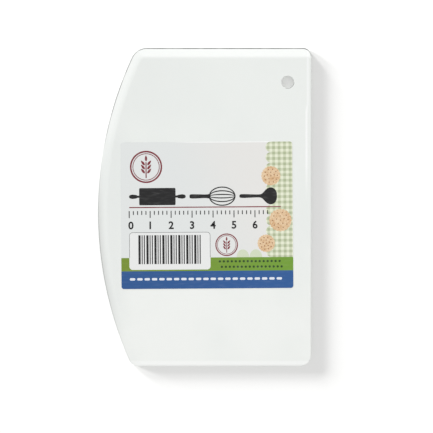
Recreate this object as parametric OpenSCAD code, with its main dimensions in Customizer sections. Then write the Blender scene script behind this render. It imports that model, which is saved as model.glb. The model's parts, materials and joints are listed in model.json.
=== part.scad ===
// Flexible bowl scraper: one moulded plastic plate and the film label stuck to its front face.
// The plate lies on its flat back, with its front face up. X runs from the bowed scraping side
// towards the straight holding side, Y runs along the plate, and Z points out of the front face.
// The origin is at the middle of the plate's footprint, on the surface that it lies on.
// The bowed side and the upper end thin down to a scraping edge behind a long bevel. The holding
// side and the lower end keep most of their thickness, with a rounded front edge.

/* [Plate] */
// Length of the plate along Y
plate_length = 152; // [140:1:180]
// Width of the plate along X, at the deepest point of the bow
plate_width = 102; // [100:1:120]
// Thickness of the plate behind its bevels
plate_thickness = 2; // [1.8:0.1:3]

/* [Bowed side] */
// Radius of the bowed side, seen from the front
bow_radius = 176; // [165:1:240]
// How far the deepest point of the bow lies below the middle of the plate
bow_drop = 2.3; // [0:0.1:5]

/* [Edges] */
// Width of the bevel behind the bowed side and the upper end
bevel_width = 4.4; // [3:0.1:6]
// Thickness left at the scraping edge
edge_thickness = 1; // [0.6:0.1:1.2]
// Radius of the rounded front edge on the holding side and the lower end
edge_round = 0.8; // [0.3:0.1:0.9]

/* [Corners] */
// Radius where the bowed side meets the upper end
upper_bow_corner = 8; // [3:0.5:12]
// Radius where the bowed side meets the lower end
lower_bow_corner = 5; // [3:0.5:12]
// Radius where the holding side meets the upper end
upper_holding_corner = 4; // [3:0.5:10]
// Radius where the holding side meets the lower end
lower_holding_corner = 6; // [3:0.5:10]

/* [Hanging hole] */
// Diameter of the hanging hole
hole_diameter = 6; // [4:0.1:9]
// Distance from the holding side to the middle of the hole
hole_from_side = 11.4; // [9:0.1:20]
// Distance from the upper end to the middle of the hole
hole_from_end = 16.4; // [12:0.1:25]

/* [Label] */
// Width of the label along X
label_width = 82; // [50:1:82]
// Height of the label along Y
label_height = 70; // [40:1:80]
// Thickness of the label film with its adhesive
label_thickness = 0.1; // [0.05:0.01:0.2]
// Radius of the label's corners
label_corner = 1.2; // [0.5:0.1:3]
// How far the middle of the label lies towards the holding side
label_right = 1.1; // [0:0.1:2]
// How far the middle of the label lies below the middle of the plate
label_down = 3.9; // [0:0.1:6]
// Angle in degrees that the label is turned by, counter-clockwise
label_turn = 0.4; // [0:0.1:0.5]

/* [Hidden] */

half_length = plate_length / 2;
half_width = plate_width / 2;
bow_centre = [bow_radius - half_width, -bow_drop];
hole_centre = [half_width - hole_from_side, half_length - hole_from_end];

// How much the plate thins over one bevel, and how much of that comes with each millimetre
bevel_rise = plate_thickness - edge_thickness;
bevel_slope = bevel_rise / bevel_width;

// How far a cutting shape runs past the solid that it cuts
past = 1;
// How far a corner's arc reaches beyond the sides that it joins, so that it crosses them cleanly
crossing = 0.001;
// Facets of the drawn bow, and of the corners and the hole
bow_facets = 720;
round_facets = 96;

// Which end of the plate a corner is at
UPPER = 1;
LOWER = -1;

// Middle of a rounded corner on the bowed side.
function bow_corner_middle(radius, end) =
    let (y = end * (half_length - radius), reach = bow_radius - radius)
    [bow_centre.x - sqrt(pow(reach, 2) - pow(y - bow_centre.y, 2)), y];

// Middle of a rounded corner on the holding side.
function holding_corner_middle(radius, end) = [half_width - radius, end * (half_length - radius)];

// The unit vector from the middle of the bow towards a point.
function away_from_bow(point) = (point - bow_centre) / norm(point - bow_centre);

// What a rounded corner on the bowed side takes off the outline.
module bow_corner_waste(radius, end) {
    middle = bow_corner_middle(radius, end);
    on_end = [middle.x, end * (half_length + past)];
    on_bow = bow_centre + (bow_radius + past) * away_from_bow(middle);
    difference() {
        polygon([middle, on_end, [on_bow.x - radius, on_end.y], on_bow]);
        translate(middle) circle(r = radius + crossing, $fn = round_facets);
    }
}

// What a rounded corner on the holding side takes off the outline.
module holding_corner_waste(radius, end) {
    translate(holding_corner_middle(radius, end))
        difference() {
            translate([0, end == UPPER ? 0 : -radius - past]) square(radius + past);
            circle(r = radius + crossing, $fn = round_facets);
        }
}

// The plate's outline seen from the front.
module plate_outline() {
    difference() {
        intersection() {
            translate([-half_width - past, -half_length]) square([plate_width + past, plate_length]);
            translate(bow_centre) circle(r = bow_radius, $fn = bow_facets);
        }
        bow_corner_waste(upper_bow_corner, UPPER);
        bow_corner_waste(lower_bow_corner, LOWER);
        holding_corner_waste(upper_holding_corner, UPPER);
        holding_corner_waste(lower_holding_corner, LOWER);
    }
}

// The space that the conical bevel along the bowed side leaves under it.
module under_bow_bevel() {
    translate([bow_centre.x, bow_centre.y, -past])
        cylinder(
            h = plate_thickness + 2 * past,
            r1 = bow_radius + (edge_thickness + past) / bevel_slope,
            r2 = bow_radius - (bevel_rise + past) / bevel_slope,
            $fn = bow_facets
        );
}

// The space that the flat bevel of the upper end leaves under it, drawn across the plate.
module under_upper_bevel() {
    rotate([90, 0, 90])
        linear_extrude(plate_width + 2 * past, center = true)
            polygon([
                [-half_length - past, -past],
                [half_length + past, -past],
                [half_length + past, edge_thickness - past * bevel_slope],
                [half_length - bevel_width - past, plate_thickness + past * bevel_slope],
                [-half_length - past, plate_thickness + past * bevel_slope]
            ]);
}

// What the rounded front edge takes off, with the wall at x = 0 and the plate to the left of it.
// The walls of the corners already reach out by one crossing, so the edge's arc reaches out by two.
module edge_waste() {
    translate([-edge_round, plate_thickness - edge_round])
        difference() {
            square(edge_round + past);
            circle(r = edge_round + 2 * crossing, $fn = round_facets);
        }
}

// That waste along a straight wall, which runs from the origin towards -Y.
module straight_edge_waste(length) {
    rotate([90, 0, 0]) linear_extrude(length) edge_waste();
}

// That waste round a corner, from one bearing of its middle through an angle.
module corner_edge_waste(middle, radius, from, sweep) {
    translate(middle)
        rotate(from)
            rotate_extrude(angle = sweep, $fn = round_facets) translate([radius, 0]) edge_waste();
}

// That waste all along the holding side and the lower end, with the corners that they meet.
module rounded_edge_waste() {
    bow_corner = bow_corner_middle(lower_bow_corner, LOWER);
    upper_corner = holding_corner_middle(upper_holding_corner, UPPER);
    lower_corner = holding_corner_middle(lower_holding_corner, LOWER);
    outwards = away_from_bow(bow_corner);

    corner_edge_waste(upper_corner, upper_holding_corner, 0, 90);
    translate([half_width, upper_corner.y]) straight_edge_waste(upper_corner.y - lower_corner.y);
    corner_edge_waste(lower_corner, lower_holding_corner, -90, 90);
    translate([lower_corner.x, -half_length])
        rotate(-90) straight_edge_waste(lower_corner.x - bow_corner.x);
    corner_edge_waste(bow_corner, lower_bow_corner, -90, 90 + atan2(outwards.y, outwards.x));
}

// The moulded plate, with its bevels, its rounded edges and its hanging hole.
module blade() {
    color([0.92, 0.93, 0.92])
        difference() {
            intersection() {
                linear_extrude(plate_thickness) plate_outline();
                under_bow_bevel();
                under_upper_bevel();
            }
            rounded_edge_waste();
            translate([hole_centre.x, hole_centre.y, -past])
                cylinder(h = plate_thickness + 2 * past, d = hole_diameter, $fn = round_facets);
        }
}

// The label's outline: two bars across each other, with a disc in each corner.
module label_outline() {
    square([label_width - 2 * label_corner, label_height], center = true);
    square([label_width, label_height - 2 * label_corner], center = true);
    for (side = [-1, 1], end = [UPPER, LOWER])
        translate([side * (label_width / 2 - label_corner), end * (label_height / 2 - label_corner)])
            circle(r = label_corner, $fn = round_facets);
}

// The film label, lying face to face on the plate.
module label() {
    color([0.88, 0.89, 0.88])
        translate([label_right, -label_down, plate_thickness])
            rotate(label_turn)
                linear_extrude(label_thickness) label_outline();
}

blade();
label();
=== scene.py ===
"""Dresses the flexible bowl scraper: a moulded white plate with a printed film label on its front face.

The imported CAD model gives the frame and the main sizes. Everything is in metres in its frame: X runs
from the bowed scraping side to the straight holding side, Y along the plate, Z out of the front face.
"""

import json
import logging
import math
from dataclasses import dataclass, field
from enum import Enum
from typing import Callable, ClassVar, Iterable, Sequence, Union

import bpy
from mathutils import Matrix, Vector

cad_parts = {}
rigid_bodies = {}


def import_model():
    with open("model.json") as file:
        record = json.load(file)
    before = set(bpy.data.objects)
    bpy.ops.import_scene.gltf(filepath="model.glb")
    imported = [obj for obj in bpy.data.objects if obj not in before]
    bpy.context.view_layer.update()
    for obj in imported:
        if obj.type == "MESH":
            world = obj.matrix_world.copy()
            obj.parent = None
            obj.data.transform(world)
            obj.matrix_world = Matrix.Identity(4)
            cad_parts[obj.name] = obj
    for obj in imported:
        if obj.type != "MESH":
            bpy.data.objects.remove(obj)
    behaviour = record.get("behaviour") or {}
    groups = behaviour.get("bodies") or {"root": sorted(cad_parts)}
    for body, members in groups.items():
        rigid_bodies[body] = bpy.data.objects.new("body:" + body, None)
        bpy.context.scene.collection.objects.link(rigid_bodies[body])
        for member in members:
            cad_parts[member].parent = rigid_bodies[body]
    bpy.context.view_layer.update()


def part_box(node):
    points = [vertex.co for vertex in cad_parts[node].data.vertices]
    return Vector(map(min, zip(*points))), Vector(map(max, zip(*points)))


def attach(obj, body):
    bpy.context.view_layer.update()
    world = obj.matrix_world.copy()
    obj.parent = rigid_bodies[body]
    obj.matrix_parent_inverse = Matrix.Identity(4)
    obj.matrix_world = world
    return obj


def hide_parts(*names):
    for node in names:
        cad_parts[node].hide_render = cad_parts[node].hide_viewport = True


log = logging.getLogger("bowl_scraper")

MM = 0.001
MICRON = 0.000001
BODY = "root"
PRINT_IOR = 1.5
PRINT_RELIEF = 2 * MICRON

Point = tuple[float, float]
Colour = tuple[float, float, float, float]
Number = Union[int, float]


class Slot(Enum):
    """The record's material slots."""

    PLASTIC = "white_plastic"
    FILM = "printed_film"


class Layer(Enum):
    """How far the top of an ink lies below the top of the label, in metres."""

    GROUND = 7 * MICRON
    MIDDLE = 3.5 * MICRON
    TOP = 0.0


@dataclass(frozen=True)
class Fade:
    """Where along a measure a look comes in, and how strong it then is."""

    start: float
    end: float
    share: float = 1.0


def srgb(red: int, green: int, blue: int) -> Colour:
    """Turns a colour as it shows on a screen into the linear colour that a shader takes.

    Args:
        red: Red from 0 to 255.
        green: Green from 0 to 255.
        blue: Blue from 0 to 255.

    Returns:
        The linear colour with full alpha.
    """

    def channel(level: int) -> float:
        """Linear strength of one channel."""
        share = level / 255
        return share / 12.92 if share <= 0.04045 else ((share + 0.055) / 1.055) ** 2.4

    return (channel(red), channel(green), channel(blue), 1.0)


# Shader building


class Value:
    """A number socket of a shader that takes part in Python arithmetic."""

    def __init__(self, nodes: "Nodes", socket: bpy.types.NodeSocket) -> None:
        """Keeps the socket and the node tree that it belongs to."""
        self.nodes = nodes
        self.socket = socket

    def __add__(self, other: "Term") -> "Value":
        """Adds a value or a number."""
        return self.nodes.math("ADD", self, other)

    __radd__ = __add__

    def __sub__(self, other: "Term") -> "Value":
        """Takes a value or a number away."""
        return self.nodes.math("SUBTRACT", self, other)

    def __rsub__(self, other: Number) -> "Value":
        """Takes this value away from a number."""
        return self.nodes.math("SUBTRACT", other, self)

    def __mul__(self, other: "Term") -> "Value":
        """Multiplies by a value or a number."""
        return self.nodes.math("MULTIPLY", self, other)

    def __truediv__(self, other: "Term") -> "Value":
        """Divides by a value or a number."""
        return self.nodes.math("DIVIDE", self, other)

    def lower(self, other: "Term") -> "Value":
        """The lower one of this value and another."""
        return self.nodes.math("MINIMUM", self, other)

    def higher(self, other: "Term") -> "Value":
        """The higher one of this value and another."""
        return self.nodes.math("MAXIMUM", self, other)

    def part(self) -> "Value":
        """What is left of this value after its whole number."""
        return self.nodes.math("FRACT", self, 0.0)

    def rises(self, start: Number, end: Number) -> "Value":
        """A smooth step from 0 at start to 1 at end. With start above end it falls instead.

        Args:
            start: Value at which the step begins.
            end: Value at which it is complete.

        Returns:
            The step, from 0 to 1.
        """
        low, high = min(start, end), max(start, end)
        step = self.nodes.node(
            "ShaderNodeMapRange",
            {"interpolation_type": "SMOOTHSTEP"},
            {"Value": self, "From Min": low, "From Max": high},
        )
        rising = Value(self.nodes, step.outputs["Result"])
        return rising if start <= end else 1 - rising

    def over(self, fade: Fade) -> "Value":
        """How much of a look this value brings in."""
        return self.rises(fade.start, fade.end) * fade.share


Term = Union[Value, Number]


class Nodes:
    """Adds the nodes of one material or world."""

    MIX_FACTOR = 0
    MIX_FIRST_COLOUR = 6
    MIX_SECOND_COLOUR = 7
    MIX_COLOUR = 2

    def __init__(self, tree: bpy.types.NodeTree) -> None:
        """Starts from an empty node tree."""
        self.tree = tree
        self.tree.nodes.clear()

    def node(self, kind: str, settings: dict, inputs: dict) -> bpy.types.Node:
        """Adds one node.

        Args:
            kind: Blender's name of the node type.
            settings: Properties of the node, which are set first.
            inputs: Value or link of each socket, by its name or number.

        Returns:
            The new node.
        """
        made = self.tree.nodes.new(kind)
        for name, setting in settings.items():
            setattr(made, name, setting)
        for key, term in inputs.items():
            if isinstance(term, Value):
                term = term.socket
            if isinstance(term, bpy.types.NodeSocket):
                self.tree.links.new(term, made.inputs[key])
            else:
                made.inputs[key].default_value = term
        return made

    def math(self, operation: str, first: Term, second: Term) -> Value:
        """Adds a Math node and gives its result."""
        made = self.node("ShaderNodeMath", {"operation": operation}, {0: first, 1: second})
        return Value(self, made.outputs[0])

    def mix(
        self, factor: Term, first: Colour | bpy.types.NodeSocket, second: Colour | bpy.types.NodeSocket
    ) -> bpy.types.NodeSocket:
        """Mixes two colours.

        Args:
            factor: Share of the second colour.
            first: Colour where the factor is 0.
            second: Colour where the factor is 1.

        Returns:
            The socket of the mixed colour.
        """
        inputs = {self.MIX_FACTOR: factor, self.MIX_FIRST_COLOUR: first, self.MIX_SECOND_COLOUR: second}
        return self.node("ShaderNodeMix", {"data_type": "RGBA"}, inputs).outputs[self.MIX_COLOUR]

    def place(
        self, centre: Point = (0.0, 0.0), turn: float = 0.0, stretch: tuple[float, float, float] = (1, 1, 1)
    ) -> bpy.types.NodeSocket:
        """Object coordinates in millimetres.

        Args:
            centre: Point in metres that becomes the origin.
            turn: Angle in radians that the coordinates are turned by.
            stretch: How far a pattern is drawn out along each axis.

        Returns:
            The socket of the coordinates.
        """
        coordinates = self.node("ShaderNodeTexCoord", {}, {}).outputs["Object"]
        settings = {"vector_type": "TEXTURE"}
        inputs = {
            "Vector": coordinates,
            "Location": (centre[0], centre[1], 0),
            "Rotation": (0, 0, turn),
            "Scale": tuple(MM * share for share in stretch),
        }
        return self.node("ShaderNodeMapping", settings, inputs).outputs["Vector"]

    def axes(self, place: bpy.types.NodeSocket) -> tuple[Value, Value, Value]:
        """The X, Y and Z of a place."""
        split = self.node("ShaderNodeSeparateXYZ", {}, {"Vector": place})
        return tuple(Value(self, split.outputs[axis]) for axis in "XYZ")

    def noise(self, place: bpy.types.NodeSocket, scale: float, detail: float = 2.0) -> Value:
        """Smooth noise from 0 to 1, with scale in features a millimetre."""
        made = self.node("ShaderNodeTexNoise", {}, {"Vector": place, "Scale": scale, "Detail": detail})
        return Value(self, made.outputs[0])

    def distance(self, place: bpy.types.NodeSocket, point: tuple[float, float, float]) -> Value:
        """Distance in millimetres from a point."""
        made = self.node("ShaderNodeVectorMath", {"operation": "DISTANCE"}, {0: place, 1: point})
        return Value(self, made.outputs["Value"])

    def flat(self, x: Value, y: Value) -> bpy.types.NodeSocket:
        """The place at height 0 under a point."""
        return self.node("ShaderNodeCombineXYZ", {}, {"X": x, "Y": y}).outputs["Vector"]

    def bump(self, height: Value, distance: float) -> bpy.types.NodeSocket:
        """The normal of a surface with a relief.

        Args:
            height: Relief from 0 to 1.
            distance: Depth of the relief in metres.

        Returns:
            The socket of the normal.
        """
        return self.node("ShaderNodeBump", {}, {"Height": height, "Distance": distance}).outputs["Normal"]

    def surface(self, inputs: dict) -> None:
        """Adds the Principled shader with its sockets and the output."""
        shader = self.node("ShaderNodeBsdfPrincipled", {}, inputs)
        self.node("ShaderNodeOutputMaterial", {}, {"Surface": shader.outputs["BSDF"]})


def new_material(name: str) -> tuple[bpy.types.Material, Nodes]:
    """Adds an empty material and gives it with its node builder.

    Args:
        name: Name of the material.

    Returns:
        The material and its node builder.
    """
    material = bpy.data.materials.new(name)
    material.use_nodes = True
    return material, Nodes(material.node_tree)


# Modelling with the edit tools


def deselect() -> None:
    """Leaves edit mode and selects nothing."""
    if bpy.context.object and bpy.context.object.mode == "EDIT":
        bpy.ops.object.mode_set(mode="OBJECT")
    bpy.ops.object.select_all(action="DESELECT")


def activate(pieces: Sequence[bpy.types.Object]) -> None:
    """Selects these pieces alone and makes the first the active one.

    Args:
        pieces: Pieces to select.
    """
    deselect()
    for piece in pieces:
        piece.select_set(True)
    bpy.context.view_layer.objects.active = pieces[0]


def applied(piece: bpy.types.Object) -> bpy.types.Object:
    """Moves the piece's place, turn and size into its mesh.

    Args:
        piece: Piece to settle.

    Returns:
        The same piece.
    """
    activate([piece])
    bpy.ops.object.transform_apply(location=True, rotation=True, scale=True)
    return piece


def edit(piece: bpy.types.Object, kept: Callable[[Vector], bool] | None = None) -> None:
    """Opens a piece in edit mode with the chosen points selected.

    Args:
        piece: Piece to edit.
        kept: Test of a point's place, or None to select everything.
    """
    activate([piece])
    bpy.ops.object.mode_set(mode="EDIT")
    bpy.ops.mesh.select_mode(type="VERT")
    bpy.ops.mesh.select_all(action="SELECT" if kept is None else "DESELECT")
    if kept is not None:
        bpy.ops.object.mode_set(mode="OBJECT")
        for point in piece.data.vertices:
            point.select = kept(point.co)
        bpy.ops.object.mode_set(mode="EDIT")


def finished_edit() -> bpy.types.Object:
    """Closes edit mode and gives the edited piece."""
    bpy.ops.object.mode_set(mode="OBJECT")
    return bpy.context.object


def modified(piece: bpy.types.Object, kind: str, settings: dict) -> bpy.types.Object:
    """Adds a modifier and applies it.

    Args:
        piece: Piece that the modifier works on.
        kind: Blender's name of the modifier type.
        settings: Properties of the modifier.

    Returns:
        The same piece.
    """
    activate([piece])
    modifier = piece.modifiers.new(kind.title(), kind)
    for name, setting in settings.items():
        setattr(modifier, name, setting)
    bpy.ops.object.modifier_apply(modifier=modifier.name)
    return piece


def joined(pieces: Sequence[bpy.types.Object], name: str) -> bpy.types.Object:
    """Joins pieces into one, under a new name.

    Args:
        pieces: Pieces to join, of which the first takes in the others.
        name: Name of the whole.

    Returns:
        The joined piece.
    """
    activate(pieces)
    if len(pieces) > 1:
        bpy.ops.object.join()
    whole = bpy.context.object
    whole.name = name
    whole.data.name = name
    return whole


def fused(solids: Sequence[bpy.types.Object], name: str) -> bpy.types.Object:
    """Unites closed solids that overlap into one closed solid, under a new name.

    Args:
        solids: Two or more closed solids.
        name: Name of the whole.

    Returns:
        The united piece.
    """
    first, *others = solids
    other = joined(others, name)
    settings = {"operation": "UNION", "solver": "EXACT", "use_self": True, "object": other}
    modified(first, "BOOLEAN", settings)
    bpy.data.objects.remove(other)
    return joined([first], name)


def copied(piece: bpy.types.Object, shift: Point, turn: float = 0.0) -> bpy.types.Object:
    """Copies a piece with a mesh of its own.

    Args:
        piece: Piece to copy.
        shift: How far the copy is moved, in metres.
        turn: Angle in radians that it is turned by about the origin, before it is moved.

    Returns:
        The copy, with its place in its mesh.
    """
    copy = piece.copy()
    copy.data = piece.data.copy()
    bpy.context.scene.collection.objects.link(copy)
    copy.location = (shift[0], shift[1], 0)
    copy.rotation_euler = (0, 0, turn)
    return applied(copy)


def outward(piece: bpy.types.Object) -> bpy.types.Object:
    """Merges doubled points and turns every face outwards.

    Args:
        piece: Closed piece.

    Returns:
        The same piece.
    """
    edit(piece)
    bpy.ops.mesh.remove_doubles(threshold=MICRON / 10)
    bpy.ops.mesh.normals_make_consistent(inside=False)
    return finished_edit()


class Pen:
    """Draws one closed outline from extruded straights and spun arcs."""

    SEED = 0.1 * MM

    def __init__(self, start: Point, height: float) -> None:
        """Puts the first point of the outline in place.

        Args:
            start: The point's X and Y.
            height: Z of the whole outline.
        """
        deselect()
        bpy.ops.mesh.primitive_plane_add(size=self.SEED, location=(*start, height))
        applied(bpy.context.object)
        bpy.ops.object.mode_set(mode="EDIT")
        bpy.ops.mesh.select_mode(type="VERT")
        bpy.ops.mesh.select_all(action="SELECT")
        bpy.ops.mesh.merge(type="CENTER")
        self.at = start
        self.height = height

    def line(self, end: Point) -> None:
        """Draws a straight to the end point.

        Args:
            end: X and Y of the end point.
        """
        step = (end[0] - self.at[0], end[1] - self.at[1], 0)
        bpy.ops.mesh.extrude_region_move(TRANSFORM_OT_translate={"value": step})
        self.at = end

    def arc(self, middle: Point, sweep: float, steps: int) -> None:
        """Draws an arc, counter-clockwise as seen from the front.

        Args:
            middle: Middle of the arc.
            sweep: Angle of the arc in radians.
            steps: Number of edges in it.
        """
        # Spin turns clockwise about its axis, so the axis points down.
        bpy.ops.mesh.spin(steps=steps, angle=sweep, center=(*middle, self.height), axis=(0, 0, -1))
        away = Vector(self.at) - Vector(middle)
        turned = (
            away.x * math.cos(sweep) - away.y * math.sin(sweep),
            away.x * math.sin(sweep) + away.y * math.cos(sweep),
        )
        self.at = (middle[0] + turned[0], middle[1] + turned[1])

    def close(self) -> bpy.types.Object:
        """Merges the last point with the first and gives the outline.

        Returns:
            The closed line.
        """
        bpy.ops.mesh.select_all(action="SELECT")
        bpy.ops.mesh.remove_doubles(threshold=2 * MICRON)
        return finished_edit()


def flat_plate(centre: Point, size: Point, corner: float = 0.0, steps: int = 5) -> bpy.types.Object:
    """A flat rectangle, with its corners rounded where a radius is given.

    Args:
        centre: Middle of the rectangle.
        size: Its width and height.
        corner: Radius of its corners.
        steps: Number of edges round each corner.

    Returns:
        The flat piece at height 0.
    """
    deselect()
    bpy.ops.mesh.primitive_plane_add(size=1, location=(*centre, 0))
    piece = bpy.context.object
    piece.scale = (size[0], size[1], 1)
    applied(piece)
    if corner:
        edit(piece)
        bpy.ops.mesh.bevel(offset=corner, segments=steps, affect="VERTICES")
        finished_edit()
    return piece


def flat_disc(centre: Point, radii: Point, points: int = 40) -> bpy.types.Object:
    """A flat disc or ellipse at height 0, from its middle, its two radii and its number of points.

    Args:
        centre: Middle of the disc.
        radii: Its radii along X and Y.
        points: Number of points round it.

    Returns:
        The flat piece.
    """
    deselect()
    bpy.ops.mesh.primitive_circle_add(vertices=points, radius=1, fill_type="NGON", location=(*centre, 0))
    piece = bpy.context.object
    piece.scale = (radii[0], radii[1], 1)
    return applied(piece)


def flat_ring(centre: Point, radii: Point, line: float, points: int = 64) -> bpy.types.Object:
    """A flat ring with its line inside an ellipse.

    Args:
        centre: Middle of the ring.
        radii: The two radii of its outer edge.
        line: Width of the line that it is drawn with.
        points: Number of points round it.

    Returns:
        The flat piece at height 0.
    """
    deselect()
    bpy.ops.mesh.primitive_circle_add(vertices=points, radius=1, fill_type="NOTHING", location=(*centre, 0))
    piece = bpy.context.object
    piece.scale = (radii[0], radii[1], 1)
    applied(piece)
    edit(piece)
    shrink = (1 - line / radii[0], 1 - line / radii[1], 1)
    bpy.ops.mesh.extrude_region_move()
    bpy.ops.transform.resize(value=shrink, center_override=(*centre, 0))
    return finished_edit()


def scaled(outline: Iterable[Point], along: float = MM, across: float = MM) -> list[Point]:
    """Gives an outline's points their real size.

    Args:
        outline: Place and half width of each point.
        along: Metres to each unit of the place.
        across: Metres to each unit of the half width.

    Returns:
        The points in metres.
    """
    return [(place * along, half_width * across) for place, half_width in outline]


def flat_strip(stations: Sequence[Point], smooth: bool = True) -> bpy.types.Object:
    """A flat shape along X that is alike on both sides of its middle line.

    Args:
        stations: Distance along X and half width of each point of its outline, in metres.
        smooth: Whether the outline is rounded between the stations.

    Returns:
        The flat piece at height 0.
    """
    (first, half_first), (second, half_second) = stations[:2]
    piece = flat_plate(((first + second) / 2, 0.0), (second - first, 2 * half_first))
    place, half_width = second, half_second
    edit(piece, lambda point: point.x > (first + second) / 2)
    bpy.ops.transform.resize(value=(1, half_width / half_first, 1), center_override=(place, 0, 0))
    for onward, half_next in stations[2:]:
        bpy.ops.mesh.extrude_region_move(TRANSFORM_OT_translate={"value": (onward - place, 0, 0)})
        bpy.ops.transform.resize(value=(1, half_next / half_width, 1), center_override=(onward, 0, 0))
        place, half_width = onward, half_next
    finished_edit()
    if smooth:
        modified(piece, "SUBSURF", {"levels": 2, "render_levels": 2})
    return piece


# The plate


@dataclass(frozen=True)
class Contour:
    """One closed line round the plate."""

    height: float
    bevel_inset: float
    round_inset: float


@dataclass
class Plate:
    """The moulded plate: bevelled along the bowed side and upper end, rounded on the other two.

    The lengths are in metres. Width, length and thickness come from the frame.
    """

    low: Vector
    high: Vector
    bow_radius: float = 176 * MM
    bow_drop: float = 2.3 * MM
    bevel_width: float = 4.4 * MM
    edge_thickness: float = 1 * MM
    edge_round: float = 0.8 * MM
    rim_round: float = 0.25 * MM
    foot_round: float = 0.2 * MM
    soft_bend: float = 5 * MM
    upper_bow_corner: float = 8 * MM
    lower_bow_corner: float = 5 * MM
    upper_holding_corner: float = 4 * MM
    lower_holding_corner: float = 6 * MM
    least_corner: float = 0.5 * MM
    hole_radius: float = 3 * MM
    hole_from_side: float = 11.4 * MM
    hole_from_end: float = 16.4 * MM
    hole_round: float = 0.1 * MM
    pin_radius: float = 2.5 * MM
    pin_depth: float = 0.08 * MM
    pin_places: tuple[Point, ...] = ((-28, 50), (30, 42), (-28, -54), (36, -58))
    gate_radius: float = 2.2 * MM
    gate_depth: float = 0.25 * MM
    gate_nub_radius: float = 0.6 * MM
    gate_nub_height: float = 0.15 * MM
    past: float = 1 * MM
    bow_steps: int = 96
    corner_steps: int = 12
    foot_steps: int = 4
    rim_steps: int = 4
    bend_steps: int = 6
    edge_angles: tuple[float, ...] = (0, 11.5, 23, 35)
    hole_round_steps: int = 3
    round_points: int = 96
    mark_points: int = 48
    smooth_angle: float = math.radians(28)

    @property
    def half_width(self) -> float:
        """Half the plate's width."""
        return (self.high.x - self.low.x) / 2

    @property
    def half_length(self) -> float:
        """Half the plate's length."""
        return (self.high.y - self.low.y) / 2

    @property
    def thickness(self) -> float:
        """The plate's thickness behind its bevels."""
        return self.high.z - self.low.z

    @property
    def bow_centre(self) -> Point:
        """Middle of the arc of the bowed side."""
        return (self.low.x + self.bow_radius, -self.bow_drop)

    @property
    def hole_centre(self) -> Point:
        """Middle of the hanging hole."""
        return (self.high.x - self.hole_from_side, self.high.y - self.hole_from_end)

    def corner(self, radius: float, insets: Point, turn: float) -> float:
        """Radius of a contour's corner, the least that keeps it inside the plate's own corner.

        Args:
            radius: Radius of the plate's own corner.
            insets: How far the contour lies in from each of the two sides.
            turn: Angle in radians between the two sides' outward directions.

        Returns:
            The corner's radius in metres.
        """
        first, second = insets
        wide = math.cos(turn)
        reach = first + second + math.sqrt(2 * first * second * (1 + wide))
        return max(self.least_corner, radius - reach / (1 - wide))

    def bow_side(self, end: float, inset: float, radius: float) -> tuple[Point, float]:
        """Places a corner between the bowed side and one of the ends.

        Args:
            end: Y of the contour's end.
            inset: How far the contour lies in from the bowed side.
            radius: Radius of the corner.

        Returns:
            Middle of the corner, and the bearing from the bow's middle to it.
        """
        centre_x, centre_y = self.bow_centre
        y = end - math.copysign(radius, end)
        reach = self.bow_radius - inset - radius
        x = centre_x - math.sqrt(reach**2 - (y - centre_y) ** 2)
        return (x, y), math.atan2(y - centre_y, x - centre_x) % (2 * math.pi)

    def outline(self, contour: Contour) -> bpy.types.Object:
        """Draws one contour.

        Args:
            contour: Its height and how far it lies in from the sides.

        Returns:
            The closed line as an object.
        """
        bevel, rounding = contour.bevel_inset, contour.round_inset
        right, upper = self.half_width - rounding, self.half_length - bevel
        lower = rounding - self.half_length
        square = math.pi / 2
        upper_turn = self.bow_side(self.half_length, 0, self.upper_bow_corner)[1] - square
        lower_turn = 3 * square - self.bow_side(-self.half_length, 0, self.lower_bow_corner)[1]

        upper_right = self.corner(self.upper_holding_corner, (rounding, bevel), square)
        lower_right = self.corner(self.lower_holding_corner, (rounding, rounding), square)
        upper_left = self.corner(self.upper_bow_corner, (bevel, bevel), upper_turn)
        lower_left = self.corner(self.lower_bow_corner, (bevel, rounding), lower_turn)
        upper_middle, upper_bearing = self.bow_side(upper, bevel, upper_left)
        lower_middle, lower_bearing = self.bow_side(lower, bevel, lower_left)

        pen = Pen((right, lower + lower_right), contour.height)
        pen.line((right, upper - upper_right))
        pen.arc((right - upper_right, upper - upper_right), square, self.corner_steps)
        pen.line((upper_middle[0], upper))
        pen.arc(upper_middle, upper_bearing - square, self.corner_steps)
        pen.arc(self.bow_centre, lower_bearing - upper_bearing, self.bow_steps)
        pen.arc(lower_middle, 3 * square - lower_bearing, self.corner_steps)
        pen.line((right - lower_right, lower))
        pen.arc((right - lower_right, lower + lower_right), square, self.corner_steps)
        return pen.close()

    def contours(self) -> list[Contour]:
        """The plate's contours from its back to its front face.

        Returns:
            The contours, from the lowest up.
        """
        square = math.pi / 2
        found = []
        for step in range(self.foot_steps + 1):
            angle = square * step / self.foot_steps
            inset = self.foot_round * (1 - math.sin(angle))
            found.append(Contour(self.foot_round * (1 - math.cos(angle)), inset, inset))

        slope = math.atan((self.thickness - self.edge_thickness) / self.bevel_width)
        rim_middle = (
            self.edge_thickness + self.rim_round * math.tan(slope) - self.rim_round / math.cos(slope)
        )
        bend_end = self.bevel_width + self.soft_bend * math.tan(slope / 2)
        heights = {}
        for step in range(self.rim_steps + 1):
            angle = (square - slope) * step / self.rim_steps
            height = rim_middle + self.rim_round * math.sin(angle)
            heights[height] = self.rim_round * (1 - math.cos(angle))
        for step in range(self.bend_steps + 1):
            angle = slope * (1 - step / self.bend_steps)
            height = self.thickness - self.soft_bend * (1 - math.cos(angle))
            heights[height] = bend_end - self.soft_bend * math.sin(angle)
        round_start = self.thickness - self.edge_round
        for angle in self.edge_angles:
            height = round_start + self.edge_round * math.sin(math.radians(angle))
            heights[height] = (height - self.edge_thickness) / math.tan(slope)

        for height in sorted(heights):
            above = max(0.0, height - round_start)
            level = math.sqrt(max(0.0, self.edge_round**2 - above**2))
            found.append(Contour(height, heights[height], self.edge_round - level))
        return found

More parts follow.
